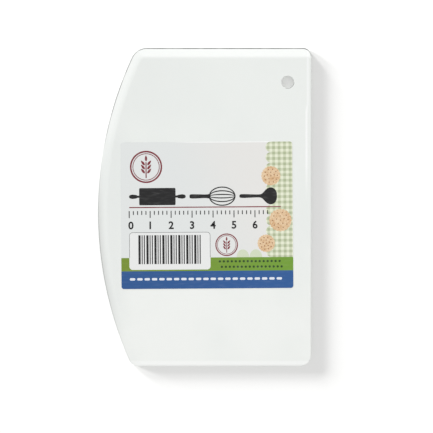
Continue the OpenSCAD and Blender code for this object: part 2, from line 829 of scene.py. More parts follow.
    def cutters(self) -> bpy.types.Object:
        """The hole's drill, with the stamps of the moulding marks on the back.

        Returns:
            The drill and stamps as one piece.
        """
        top = self.thickness + self.past
        parts = [self.cylinder(self.hole_centre, self.hole_radius, top, self.round_points)]
        for x, y in self.pin_places:
            parts.append(self.cylinder((x * MM, y * MM), self.pin_radius, self.pin_depth, self.mark_points))
        parts.append(self.gate_stamp())
        return joined(parts, "cutters")

    def cylinder(self, centre: Point, radius: float, top: float, points: int) -> bpy.types.Object:
        """An upright cylinder that starts below the plate's back.

        Args:
            centre: X and Y of its middle.
            radius: Its radius.
            top: Height of its top.
            points: Number of points round it.

        Returns:
            The cylinder.
        """
        deselect()
        bpy.ops.mesh.primitive_cylinder_add(
            vertices=points,
            radius=radius,
            depth=self.past + top,
            location=(*centre, (top - self.past) / 2),
        )
        return applied(bpy.context.object)

    def gate_stamp(self) -> bpy.types.Object:
        """The stamp that leaves the gate's shallow dish with a nub in its middle.

        Returns:
            The stamp.
        """
        stamp = self.cylinder((0.0, 0.0), self.gate_radius, self.gate_depth, self.mark_points)
        edit(stamp, lambda point: point.z > 0)
        bpy.ops.mesh.inset(thickness=self.gate_radius - self.gate_nub_radius)
        bpy.ops.mesh.extrude_region_move(TRANSFORM_OT_translate={"value": (0, 0, -self.gate_nub_height)})
        return outward(finished_edit())

    def build(self) -> bpy.types.Object:
        """Models the plate.

        Returns:
            The finished piece without its material.
        """
        contours = self.contours()
        plate = joined([self.outline(contour) for contour in contours], "plate_moulding")
        for below, above in zip(contours, contours[1:]):
            levels = (below.height, above.height)
            edit(plate, lambda point: any(abs(point.z - level) < MICRON for level in levels))
            bpy.ops.mesh.bridge_edge_loops()
            finished_edit()
        for level in (contours[0].height, contours[-1].height):
            edit(plate, lambda point: abs(point.z - level) < MICRON)
            bpy.ops.mesh.edge_face_add()
            finished_edit()
        outward(plate)

        cutters = self.cutters()
        modified(plate, "BOOLEAN", {"operation": "DIFFERENCE", "solver": "EXACT", "object": cutters})
        bpy.data.objects.remove(cutters)
        self.round_hole(plate)
        self.frame_flats(plate)
        activate([plate])
        bpy.ops.object.shade_smooth_by_angle(angle=self.smooth_angle)
        return plate

    def frame_flats(self, plate: bpy.types.Object) -> None:
        """Lays a narrow band round each flat face and its openings, so that it shades as a flat.

        Args:
            plate: The plate's piece.
        """
        for level in (0.0, self.thickness):
            edit(plate, lambda point: abs(point.z - level) < MICRON)
            bpy.ops.mesh.inset(thickness=self.least_corner / 2)
            finished_edit()

    def round_hole(self, plate: bpy.types.Object) -> None:
        """Rounds both rims of the hanging hole.

        Args:
            plate: The plate's piece.
        """
        centre = Vector(self.hole_centre)

        def on_rim(point: Vector) -> bool:
            """Whether a point lies on one of the rims."""
            on_face = min(abs(point.z), abs(point.z - self.thickness)) < MICRON
            return on_face and abs((point.xy - centre).length - self.hole_radius) < 10 * MICRON

        edit(plate, on_rim)
        bpy.ops.mesh.bevel(offset=self.hole_round, segments=self.hole_round_steps, affect="EDGES")
        finished_edit()


class PlateMeasures:
    """Where a point of the plate lies, in millimetres, as values for the plate's finish."""

    TAKE_OVER = Fade(0, 0.02)

    def __init__(self, nodes: Nodes, plate: Plate) -> None:
        """Works out the distances that the finish follows.

        Args:
            nodes: Node builder of the material.
            plate: Plate that is measured.
        """
        self.nodes = nodes
        self.plate = plate
        self.place = nodes.place()
        self.x, self.y, self.z = nodes.axes(self.place)
        self.flat = nodes.flat(self.x, self.y)
        self.from_bow = plate.bow_radius / MM - self.away_from(plate.bow_centre)
        self.from_end = plate.half_length / MM - self.y
        self.from_foot = plate.half_length / MM + self.y
        self.from_side = plate.half_width / MM - self.x
        self.from_hole = self.away_from(plate.hole_centre) - plate.hole_radius / MM
        self.from_edge = self.scraping_edge()

    def away_from(self, point: Point) -> Value:
        """Distance from a point that is given in metres."""
        return self.nodes.distance(self.flat, (point[0] / MM, point[1] / MM, 0))

    def towards(self, point: Point, bearing: float) -> Value:
        """How far past a point it lies in one direction.

        Args:
            point: The point in metres.
            bearing: The direction in radians, from +X towards +Y.

        Returns:
            The distance in that direction.
        """
        across, up = self.x - point[0] / MM, self.y - point[1] / MM
        return across * math.cos(bearing) + up * math.sin(bearing)

    def scraping_edge(self) -> Value:
        """Distance from the scraping edge, which is the bowed side, the upper end and their corners.

        Returns:
            The distance from the edge.
        """
        plate, square = self.plate, math.pi / 2
        bow_middle, bow_bearing = plate.bow_side(plate.half_length, 0, plate.upper_bow_corner)
        holding = plate.upper_holding_corner
        holding_middle = (plate.half_width - holding, plate.half_length - holding)
        corners = (
            (bow_middle, plate.upper_bow_corner, square, bow_bearing),
            (holding_middle, holding, 0.0, square),
        )
        found = self.from_bow.lower(self.from_end)
        for middle, radius, first, last in corners:
            past_first = self.towards(middle, first + square)
            before_last = self.towards(middle, last - square)
            inside = past_first.over(self.TAKE_OVER) * before_last.over(self.TAKE_OVER)
            found = found + (radius / MM - self.away_from(middle) - found) * inside
        return found


@dataclass(frozen=True)
class MouldedPlastic:
    """White polypropylene: faintly cloudy and finely textured, with painted highlights along its edges,
    painted shade on its flats and the belly of its bow, and a thin dark line along the scraping edge.

    The fades of its bands and patches are in millimetres, and those of its noises in the noise's own value.
    """

    tone: Colour = srgb(235, 238, 235)
    # Painted light: the paler colour of the plate's lower part.
    lower_tone: Colour = srgb(239, 241, 238)
    cloud: Colour = srgb(229, 233, 230)
    # Painted highlight colour for the bevels and edges.
    thin: Colour = srgb(248, 249, 248)
    # Painted shade for the flats left of the label and at the upper left.
    shaded: Colour = srgb(228, 231, 229)
    # Painted shade for the belly of the bow.
    rubbed: Colour = srgb(207, 209, 207)
    # Colour of the thin dark line along the scraping edge and of the dark arc on the hole's rim.
    wear: Colour = srgb(92, 94, 93)

    # Broad changes of tone: painted light paler towards the lower end, random clouds, and painted shade
    # left of the label and at the upper left
    lower_part: Fade = Fade(10, -45)
    cloud_scale: float = 0.03
    cloud_detail: float = 3.0
    cloud_cover: Fade = Fade(0.4, 0.7, 0.35)
    beside_label: tuple[Fade, Fade, Fade] = (Fade(-33, -43, 0.65), Fade(50, 26), Fade(-66, -40))
    beside_hole: tuple[Fade, Fade] = (Fade(12, -30, 0.4), Fade(34, 50))

    # Painted highlights: paler bands on the upper end's and the bow's bevels and along the lower end, and a
    # painted highlight line along the holding side
    thin_end: Fade = Fade(5.9, 3.7, 0.38)
    thin_bow: Fade = Fade(4.2, 1.8, 0.35)
    thin_bow_along: Fade = Fade(12, 46)
    thin_foot: Fade = Fade(2.9, 2.2, 0.5)
    front_half: Fade = Fade(0.8, 1.2)
    side_line: float = 2.4
    side_line_reach: float = 0.9
    side_line_along: Fade = Fade(0, 25)
    side_line_upper: Fade = Fade(45, 50)
    side_line_shift: float = 0.6
    side_line_loss: float = 0.35

    # Painted shade on the belly of the bow, and a thin dark line along the scraping edge
    belly: tuple[Fade, Fade] = (Fade(-71.4, -25.8), Fade(24, -10))
    belly_rub: Fade = Fade(3.8, -1.2)
    edge_line: Fade = Fade(0.6, 0.3)
    edge_above: Fade = Fade(0.55, 0.75)
    edge_wear: float = 0.42
    edge_along: Fade = Fade(52, 34)
    patch_scale: float = 0.12
    patches: Fade = Fade(0.34, 0.6, 0.24)
    end_wear: Fade = Fade(1.4, 0.8, 0.4)
    low_wear: Fade = Fade(26, 16)
    low_least: float = 0.14
    low_belly: float = 0.24

    # A dark arc on the lower right of the hole's rim
    mark_bearing: float = math.radians(-57)
    mark_side: Fade = Fade(1.2, 2.3)
    mark_line: Fade = Fade(0.24, 0.12, 0.8)
    mark_height: Fade = Fade(1.6, 1.8)

    # Surface and depth
    roughness: float = 0.37
    grain_scale: float = 2.2
    grain_detail: float = 3.0
    grain_dulling: float = 0.12
    grain_relief: float = 0.7
    scuff_turn: float = math.radians(32)
    scuff_stretch: tuple[float, float, float] = (9, 0.35, 1)
    scuff_scale: float = 1.4
    scuffs: Fade = Fade(0.68, 0.76)
    scuff_shine: float = 0.08
    scuff_relief: float = 0.3
    relief: float = 4 * MICRON
    ior: float = 1.49
    specular: float = 0.4
    glow: float = 0.12
    glow_spread: tuple[float, float, float] = (1.0, 1.0, 0.95)
    glow_depth: float = 0.8 * MM

    def toned(self, at: PlateMeasures) -> bpy.types.NodeSocket:
        """The plate's colour with its broad changes: random clouds, painted light and painted shade.

        Args:
            at: Measures of the point.

        Returns:
            The socket of the colour.
        """
        nodes = at.nodes
        cloud = nodes.noise(at.place, self.cloud_scale, self.cloud_detail)
        # Painted light: the plate's colour grows paler towards its lower end.
        colour = nodes.mix(at.y.over(self.lower_part), self.tone, self.lower_tone)
        colour = nodes.mix(cloud.over(self.cloud_cover), colour, self.cloud)
        # Painted shade on the flats left of the label and at the upper left.
        left, upper, lower = self.beside_label
        colour = nodes.mix(at.x.over(left) * at.y.over(upper) * at.y.over(lower), colour, self.shaded)
        across, along = self.beside_hole
        return nodes.mix(at.x.over(across) * at.y.over(along), colour, self.shaded)

    def thinned(self, at: PlateMeasures) -> Value:
        """How strong the painted highlights along the edges are.

        Args:
            at: Measures of the point.

        Returns:
            The share of the painted highlight colour.
        """
        # The painted highlight line along the holding side lies a little nearer to it at its upper end.
        upper = at.y.over(self.side_line_upper)
        side = at.from_side + upper * self.side_line_shift
        middle, reach = self.side_line, self.side_line_reach
        line = side.rises(middle - reach, middle) * side.rises(middle + reach, middle)
        line = line * (1 - upper * self.side_line_loss) * at.y.over(self.side_line_along)
        front_only = line.higher(at.from_foot.over(self.thin_foot)) * at.z.over(self.front_half)
        along_bow = at.from_bow.over(self.thin_bow) * at.y.over(self.thin_bow_along)
        return at.from_end.over(self.thin_end).higher(along_bow).higher(front_only)

    def used(self, at: PlateMeasures, colour: bpy.types.NodeSocket) -> bpy.types.NodeSocket:
        """Adds painted shade on the belly of the bow, the thin dark line along the scraping edge and the
        dark arc on the hole's rim.

        Args:
            at: Measures of the point.
            colour: Socket of the colour without them.

        Returns:
            The socket of the colour with them.
        """
        nodes = at.nodes
        lower, upper = self.belly
        belly = at.y.over(lower) * at.y.over(upper)
        # Painted shade on the bevel along the belly of the bow.
        colour = nodes.mix(at.from_bow.over(self.belly_rub) * belly, colour, self.rubbed)

        # A thin dark line along the scraping edge, broken into patches and fainter down the bow.
        line = at.from_edge.over(self.edge_line) * at.z.over(self.edge_above)
        patches = nodes.noise(at.place, self.patch_scale).over(self.patches)
        high = self.edge_wear + patches + at.from_end.over(self.end_wear)
        high = high * at.from_end.over(self.edge_along)
        low = at.y.over(self.low_wear) * (self.low_least + belly * self.low_belly)
        colour = nodes.mix(line * high.higher(low), colour, self.wear)

        # A dark arc on the front rim of the hole, on its lower right.
        side = at.towards(at.plate.hole_centre, self.mark_bearing).over(self.mark_side)
        mark = at.from_hole.over(self.mark_line) * side * at.z.over(self.mark_height)
        return nodes.mix(mark, colour, self.wear)

    def material(self, plate: Plate) -> bpy.types.Material:
        """Builds the material.

        Args:
            plate: Plate whose edges the finish follows.

        Returns:
            The material.
        """
        material, nodes = new_material("white_polypropylene")
        at = PlateMeasures(nodes, plate)
        # Painted highlights on the toned colour, then painted shade and the dark lines.
        colour = self.used(at, nodes.mix(self.thinned(at), self.toned(at), self.thin))
        grain = nodes.noise(at.place, self.grain_scale, self.grain_detail)
        drawn_out = nodes.place(turn=self.scuff_turn, stretch=self.scuff_stretch)
        scuffed = nodes.noise(drawn_out, self.scuff_scale, self.grain_detail).over(self.scuffs)
        dulled = self.roughness + (grain - 0.5) * self.grain_dulling
        nodes.surface(
            {
                "Base Color": colour,
                "Roughness": dulled - scuffed * self.scuff_shine,
                "IOR": self.ior,
                "Specular IOR Level": self.specular,
                "Subsurface Weight": self.glow,
                "Subsurface Radius": self.glow_spread,
                "Subsurface Scale": self.glow_depth,
                "Normal": nodes.bump(grain * self.grain_relief + scuffed * self.scuff_relief, self.relief),
            }
        )
        return material


# The label


@dataclass
class Film:
    """The label's film, with the sizes that everything printed on it is placed by.

    Lengths are in metres, in the label's own coordinates: U to the right and V up from its middle.
    """

    low: Vector
    high: Vector
    width: float = 82 * MM
    height: float = 70 * MM
    corner: float = 1.2 * MM
    turn: float = math.radians(0.4)
    ink: float = 10 * MICRON
    sunk: float = 5 * MICRON
    green_top: float = -20.2 * MM
    blue_top: float = -26.6 * MM
    corner_steps: int = 8

    @property
    def centre(self) -> Point:
        """Middle of the label on the plate."""
        return ((self.low.x + self.high.x) / 2, (self.low.y + self.high.y) / 2)

    @property
    def top(self) -> float:
        """Height of the film's printed face."""
        return self.high.z - self.ink

    def build(self) -> bpy.types.Object:
        """Models the film, with its two colour bands as faces of their own.

        Returns:
            The finished piece, whose faces paint_bands later gives material 0 for the ground, 1 for green
            and 2 for blue.
        """
        film = flat_plate((0.0, 0.0), (self.width, self.height), self.corner, self.corner_steps)
        edit(film)
        base = self.low.z - self.sunk
        bpy.ops.transform.translate(value=(0, 0, base))
        bpy.ops.mesh.extrude_region_move(TRANSFORM_OT_translate={"value": (0, 0, self.top - base)})
        finished_edit()
        for line in (self.green_top, self.blue_top):
            edit(film)
            bpy.ops.mesh.bisect(plane_co=(0, line, 0), plane_no=(0, 1, 0))
            finished_edit()
        outward(film)
        self.on_label(film)
        film.name = "label_film"
        return film

    def paint_bands(self, film: bpy.types.Object) -> None:
        """Gives the faces below each band's line that band's material.

        Args:
            film: The film's piece.
        """
        away = Vector(self.centre)
        for face in film.data.polygons:
            v = face.center.y - away.y - (face.center.x - away.x) * math.sin(self.turn)
            if face.normal.z > 0.5:
                face.material_index = int(v < self.green_top) + int(v < self.blue_top)

    def on_label(self, piece: bpy.types.Object) -> bpy.types.Object:
        """Moves a piece from the label's own coordinates to its place on the plate.

        Args:
            piece: Piece to move.

        Returns:
            The same piece.
        """
        piece.location = (*self.centre, 0)
        piece.rotation_euler = (0, 0, self.turn)
        return applied(piece)

    def raised(self, shape: bpy.types.Object, layer: Layer) -> bpy.types.Object:
        """Turns a flat shape at height 0 into a thin closed solid of ink, whose top is at the layer.

        Args:
            shape: Flat shape.
            layer: How high the ink's top lies.

        Returns:
            The same piece, closed.
        """
        edit(shape)
        bpy.ops.mesh.normals_make_consistent(inside=False)
        base = self.top - self.sunk
        bpy.ops.transform.translate(value=(0, 0, base))
        depth = self.high.z - layer.value - base
        bpy.ops.mesh.extrude_region_move(TRANSFORM_OT_translate={"value": (0, 0, depth)})
        finished_edit()
        return outward(shape)

    def printed(
        self, parts: Sequence[bpy.types.Object], name: str, layer: Layer, overlapping: bool = False
    ) -> bpy.types.Object:
        """Turns flat shapes into one thin piece of ink on the film.

        Args:
            parts: Flat shapes in the label's own coordinates, at height 0.
            name: Name of the finished piece.
            layer: How high the ink's top lies.
            overlapping: Whether some of the shapes overlap and have to be united.

        Returns:
            The finished piece without its material.
        """
        if overlapping:
            piece = outward(fused([self.raised(part, layer) for part in parts], name))
        else:
            piece = self.raised(joined(parts, name), layer)
        return self.on_label(piece)


def print_material(name: str, film: Film) -> tuple[bpy.types.Material, Nodes, bpy.types.NodeSocket]:
    """Adds an empty material for something printed, with the label's own coordinates.

    Args:
        name: Name of the material.
        film: Film that the print is on.

    Returns:
        The material, its node builder and the socket of the coordinates.
    """
    material, nodes = new_material(name)
    return material, nodes, nodes.place(film.centre, film.turn)


@dataclass(frozen=True)
class PrintedFilm:
    """The film's pale ground: a satin print with a faint drift of tone, pale specks and a painted highlight
    along part of its top edge.
    """

    cool: Colour = srgb(224, 227, 226)
    warm: Colour = srgb(229, 228, 225)
    # Pale colour of the specks and of the painted highlight on the top edge.
    bare: Colour = srgb(246, 247, 246)
    drift: Fade = Fade(-2, 40)
    drift_slope: float = 0.4
    drift_scale: float = 0.05
    drift_wander: float = 16
    margin: Fade = Fade(0.5, 0.3)
    margin_along: Fade = Fade(-20, 0)
    speck_scale: float = 4.0
    speck_share: float = 0.05
    roughness: float = 0.33
    dulling_scale: float = 0.3
    dulling: float = 0.1
    ripple_scale: float = 0.8
    ripple_detail: float = 3.0
    ripple: float = 6 * MICRON
    specular: float = 0.4

    def material(self, film: Film) -> bpy.types.Material:
        """Builds the material of the film's ground.

        Args:
            film: Film that it is for.

        Returns:
            The material.
        """
        material, nodes, place = print_material("film_ground", film)
        u, v, _ = nodes.axes(place)
        drift = u + v * self.drift_slope + nodes.noise(place, self.drift_scale) * self.drift_wander
        colour = nodes.mix(drift.over(self.drift), self.cool, self.warm)
        from_top = film.height / 2 / MM - v
        # Painted highlight along part of the film's top edge.
        colour = nodes.mix(from_top.over(self.margin) * u.over(self.margin_along), colour, self.bare)
        specks = nodes.noise(place, self.speck_scale) * self.speck_share
        ripples = nodes.noise(place, self.ripple_scale, self.ripple_detail)
        nodes.surface(
            {
                "Base Color": nodes.mix(specks, colour, self.bare),
                "Roughness": self.roughness + nodes.noise(place, self.dulling_scale) * self.dulling,
                "IOR": PRINT_IOR,
                "Specular IOR Level": self.specular,
                "Normal": nodes.bump(ripples, self.ripple),
            }
        )
        return material


@dataclass(frozen=True)
class Ink:
    """A printing ink: its colour drifts to a second one along U, with a fine uneven print."""

    name: str
    left: Colour
    right: Colour
    uneven: float = 0.18
    light: Colour = srgb(238, 238, 236)
    streak_stretch: tuple[float, float, float] = (4, 1, 1)
    streak_scale: float = 0.9
    streak_detail: float = 3.0
    streaks: Fade = Fade(0.45, 0.8)
    grain_scale: float = 5.0
    roughness: float = 0.36
    dulling: float = 0.1
    specular: float = 0.35

    def material(self, film: Film) -> bpy.types.Material:
        """Builds the ink's material.

        Args:
            film: Film that it is printed on.

        Returns:
            The material.
        """
        material, nodes, place = print_material(self.name, film)
        u, _, _ = nodes.axes(place)
        half = film.width / 2 / MM
        colour = nodes.mix(u.rises(-half, half), self.left, self.right)
        drawn_out = nodes.place(film.centre, film.turn, self.streak_stretch)
        streaks = nodes.noise(drawn_out, self.streak_scale, self.streak_detail).over(self.streaks)
        grain = nodes.noise(place, self.grain_scale)
        nodes.surface(
            {
                "Base Color": nodes.mix(streaks * self.uneven, colour, self.light),
                "Roughness": self.roughness + (grain - 0.5) * self.dulling,
                "IOR": PRINT_IOR,
                "Specular IOR Level": self.specular,
                "Normal": nodes.bump(grain, PRINT_RELIEF),
            }
        )
        return material


@dataclass(frozen=True)
class Gingham:
    """A printed check in two directions, as on a kitchen cloth."""

    WHOLE_CHECKS: ClassVar[int] = 100

    ground: Colour = srgb(232, 236, 212)
    stripe: Colour = srgb(160, 172, 132)
    check: float = 2.6
    stripe_share: float = 0.5
    soft_edge: float = 0.12
    strength: float = 0.42
    weave_scale: float = 3.0
    weave_strength: float = 0.2
    roughness: float = 0.38
    dulling: float = 0.1

    def stripes(self, along: Value) -> Value:
        """Soft-edged stripes across one direction.

        Args:
            along: Distance in that direction in millimetres.

        Returns:
            The stripes, from 0 to 1.
        """
        # Whole checks are added because the part after the whole number is only wanted above 0.
        phase = (along / self.check + self.WHOLE_CHECKS).part()
        soft_end = self.stripe_share + self.soft_edge
        return phase.rises(0.0, self.soft_edge) * phase.rises(soft_end, self.stripe_share)

    def material(self, film: Film) -> bpy.types.Material:
        """Builds the checked material.

        Args:
            film: Film that it is printed on.

        Returns:
            The material.
        """
        material, nodes, place = print_material("gingham_print", film)
        u, v, _ = nodes.axes(place)
        weave = nodes.noise(place, self.weave_scale)
        cover = (self.stripes(u) + self.stripes(v)) * self.strength + (weave - 0.5) * self.weave_strength
        nodes.surface(
            {
                "Base Color": nodes.mix(cover, self.ground, self.stripe),
                "Roughness": self.roughness + weave * self.dulling,
                "IOR": PRINT_IOR,
                "Normal": nodes.bump(weave, PRINT_RELIEF),
            }
        )
        return material


@dataclass(frozen=True)
class Baked:
    """The printed picture of a biscuit: tan, browner in patches."""

    pale: Colour = srgb(232, 206, 170)
    brown: Colour = srgb(205, 160, 112)
    crumb_scale: float = 1.6
    crumb_detail: float = 4.0
    crumb_share: float = 0.6
    patch_scale: float = 0.3
    patch_share: float = 0.4
    browning: Fade = Fade(0.35, 0.7)
    roughness: float = 0.38
    dulling: float = 0.08

    def material(self, film: Film) -> bpy.types.Material:
        """Builds the biscuit's material.

        Args:
            film: Film that it is printed on.

        Returns:
            The material.
        """
        material, nodes, place = print_material("biscuit_print", film)
        crumb = nodes.noise(place, self.crumb_scale, self.crumb_detail)
        baked = crumb * self.crumb_share + nodes.noise(place, self.patch_scale) * self.patch_share
        nodes.surface(
            {
                "Base Color": nodes.mix(baked.over(self.browning), self.pale, self.brown),
                "Roughness": self.roughness + crumb * self.dulling,
                "IOR": PRINT_IOR,
                "Normal": nodes.bump(crumb, PRINT_RELIEF),
            }
        )
        return material


@dataclass
class UtensilRow:
    """A row of three kitchen tools in black: a rolling pin, a whisk and a spoon.

    The outlines give the place and the half width of each point. The pin's runs from its middle and the
    handle's from its left end, both in millimetres. The spoon's is in shares of its own two sizes.
    """

    film: Film
    left: float = -37.1 * MM
    middle: float = 9.0 * MM
    gap: float = 1.8 * MM
    pin_length: float = 27 * MM
    pin_outline: tuple[Point, ...] = (
        (8.37, 4.1),
        (8.67, 3.69),
        (8.69, 0.5),
        (9.47, 0.5),
        (10.07, 0.84),
        (11.9, 1.05),
        (13.1, 0.7875),
        (13.5, 0.315),
    )
    whisk_length: float = 22 * MM
    whisk_half_width: float = 4.6 * MM
    handle_length: float = 9.24 * MM
    handle_outline: tuple[Point, ...] = (
        (0.0, 0.7),
        (0.5, 1.1),
        (4.62, 0.95),
        (8.64, 0.8),
        (9.24, 1.15),
        (10.14, 1.0),
    )
    wire: float = 0.55 * MM
    wire_widths: tuple[float, ...] = (1.0, 0.62, 0.24)
    spoon_length: float = 18 * MM
    spoon_half_width: float = 4.0 * MM
    spoon_outline: tuple[Point, ...] = (
        (0.0, 0.125),
        (0.03, 0.25),
        (0.25, 0.2125),
        (0.5, 0.1625),
        (0.6, 0.2),
        (0.67, 0.62),
        (0.75, 0.95),
        (0.84, 1.06),
        (0.93, 0.9),
        (0.98, 0.6),
        (1.0, 0.25),
    )

    def rolling_pin(self) -> bpy.types.Object:
        """A rolling pin from its left handle to its right one.

        Returns:
            The flat shape, with its middle at the origin.
        """
        right = scaled(self.pin_outline)
        left = [(-place, width) for place, width in reversed(right)]
        return flat_strip(left + right, smooth=False)

    def whisk(self) -> list[bpy.types.Object]:
        """A whisk with its handle to the left.

        Returns:
            Its handle and wires as flat shapes, from the origin to the right.
        """
        half_balloon = (self.whisk_length - self.handle_length) / 2
        parts = [flat_strip(scaled(self.handle_outline))]
        for share in self.wire_widths:
            radii = (half_balloon, self.whisk_half_width * share)
            parts.append(flat_ring((self.handle_length + half_balloon, 0.0), radii, self.wire))
        return parts

    def spoon(self) -> bpy.types.Object:
        """A wooden spoon with its bowl to the right.

        Returns:
            The flat shape, from the origin to the right.
        """
        return flat_strip(scaled(self.spoon_outline, self.spoon_length, self.spoon_half_width))

    def build(self) -> bpy.types.Object:
        """Models the row as one solid of ink.

        Returns:
            The finished piece without its material.
        """
        pin_middle = self.left + self.pin_length / 2
        whisk_left = self.left + self.pin_length + self.gap
        spoon_left = whisk_left + self.whisk_length + self.gap
        parts = [copied(self.rolling_pin(), (pin_middle, self.middle))]
        parts += [copied(part, (whisk_left, self.middle)) for part in self.whisk()]
        parts.append(copied(self.spoon(), (spoon_left, self.middle)))
        remove_unprinted(parts)
        return self.film.printed(parts, "utensil_row", Layer.TOP, overlapping=True)


def remove_unprinted(kept: Iterable[bpy.types.Object]) -> None:
    """Removes the flat shapes that were only there to be copied.

    Args:
        kept: Flat shapes that stay.
    """
    names = {piece.name for piece in kept}
    for piece in list(bpy.context.scene.objects):
        if piece.type != "MESH" or not piece.data.vertices or piece.name in names:
            continue
        if not any(point.co.z for point in piece.data.vertices):
            bpy.data.objects.remove(piece)


@dataclass
class CentimetreScale:
    """A plain ruler scale in centimetres, with its numbers below the ticks.

    Its length and the step from tick to tick are in whole millimetres.
    """

    MM_IN_CM: ClassVar[int] = 10

    film: Film
    left: float = -37.1 * MM
    top: float = 2.2 * MM
    length: int = 66
    step: int = 2
    line: float = 0.45 * MM
    short: float = 1.9 * MM
    long: float = 3.4 * MM
    number_size: float = 5.0 * MM
    number_base: float = -6.4 * MM
    bold: float = 0.14 * MM
    curve_steps: int = 4
    tick_corner: float = 0.135 * MM
    rule_drop: float = 3.85 * MM
    rule_width: float = 72.4 * MM
    rule_line: float = 0.5 * MM
    rule_corner: float = 0.2 * MM

    def ticks(self) -> list[bpy.types.Object]:
        """One tick every two millimetres, longer at each whole centimetre.

        Returns:
            The ticks as flat shapes.
        """
        patterns = {
            height: flat_plate((0.0, -height / 2), (self.line, height), self.tick_corner, steps=2)
            for height in (self.short, self.long)
        }
        parts = []
        for count in range(0, self.length + 1, self.step):
            height = self.short if count % self.MM_IN_CM else self.long
            parts.append(copied(patterns[height], (self.left + count * MM, self.top)))
        return parts

    def number(self, count: int) -> bpy.types.Object:
        """One of the scale's numbers as a flat mesh.

        Args:
            count: The number of centimetres.

        Returns:
            The number, centred under its tick, or beside it at the left end.
        """
        deselect()
        bpy.ops.object.text_add()
        number = bpy.context.object
        number.data.body = str(count)
        number.data.size = self.number_size
        number.data.offset = self.bold
        number.data.resolution_u = self.curve_steps
        number.data.align_x = "CENTER" if count else "LEFT"
        number.data.fill_mode = "FRONT"
        bpy.ops.object.convert(target="MESH")
        number = bpy.context.object
        shift = 0.0 if count else -self.line
        number.location = (self.left + count * self.MM_IN_CM * MM + shift, self.number_base, 0)
        applied(number)
        edit(number)
        bpy.ops.mesh.remove_doubles(threshold=MICRON)
        bpy.ops.mesh.dissolve_limited(angle_limit=math.radians(1))
        return finished_edit()

    def build(self) -> bpy.types.Object:
        """Models the ticks and numbers as one solid of ink.

        Returns:
            The finished piece without its material.
        """
        parts = self.ticks()
        parts += [self.number(count) for count in range(self.length // self.MM_IN_CM + 1)]
        remove_unprinted(parts)
        return self.film.printed(parts, "centimetre_scale", Layer.TOP)

    def rule(self) -> bpy.types.Object:
        """Models the coloured rule above the ticks.

        Returns:
            The finished piece without its material.
        """
        centre = (self.left + self.rule_width / 2, self.rule_drop)
        rule = flat_plate(centre, (self.rule_width, self.rule_line), self.rule_corner, steps=3)
        return self.film.printed([rule], "red_rule", Layer.MIDDLE)


@dataclass
class BarPanel:
    """A white panel with an even rhythm of thick and thin bars, which stand for nothing."""

    film: Film
    left: float = -37.15 * MM
    right: float = 1.55 * MM
    top: float = -8.0 * MM
    bottom: float = -25.9 * MM
    corner: float = 1.6 * MM
    corner_steps: int = 8
    outline: float = 0.22 * MM
    bars_left: float = -32.8 * MM
    bars_top: float = -9.4 * MM
    bars_bottom: float = -23.2 * MM
    widths: tuple[float, ...] = (1.05, 0.45, 0.5)
    gaps: tuple[float, ...] = (0.5, 0.6, 0.7)
    bar_corner: float = 0.06 * MM
    repeats: int = 8

    @property
    def centre(self) -> Point:
        """Middle of the panel."""
        return ((self.left + self.right) / 2, (self.top + self.bottom) / 2)

    @property
    def size(self) -> Point:
        """Width and height of the panel."""
        return (self.right - self.left, self.top - self.bottom)

    def panel(self) -> bpy.types.Object:
        """Models the white panel."""
        panel = flat_plate(self.centre, self.size, self.corner, self.corner_steps)
        return self.film.printed([panel], "bar_panel", Layer.GROUND)

    def border(self) -> bpy.types.Object:
        """Models the panel's thin outline, which stops at the green band.

        Returns:
            The finished piece without its material.
        """
        border = flat_plate(self.centre, self.size, self.corner, self.corner_steps)
        edit(border)
        bpy.ops.mesh.inset(thickness=self.outline)
        bpy.ops.mesh.delete(type="FACE")
        bpy.ops.mesh.select_all(action="SELECT")
        bpy.ops.mesh.bisect(plane_co=(0, self.film.green_top, 0), plane_no=(0, 1, 0), clear_inner=True)
        return self.film.printed([finished_edit()], "bar_panel_border", Layer.MIDDLE)

    def bars(self) -> bpy.types.Object:
        """Models the bars as one solid of ink.

        Returns:
            The finished piece without its material.
        """
        height = self.bars_top - self.bars_bottom
        middle = (self.bars_top + self.bars_bottom) / 2
        place, parts = self.bars_left, []
        for _ in range(self.repeats):
            for width, gap in zip(self.widths, self.gaps):
                centre = (place + width * MM / 2, middle)
                parts.append(flat_plate(centre, (width * MM, height), self.bar_corner, steps=2))
                place += (width + gap) * MM
        return self.film.printed(parts, "even_bars", Layer.TOP)


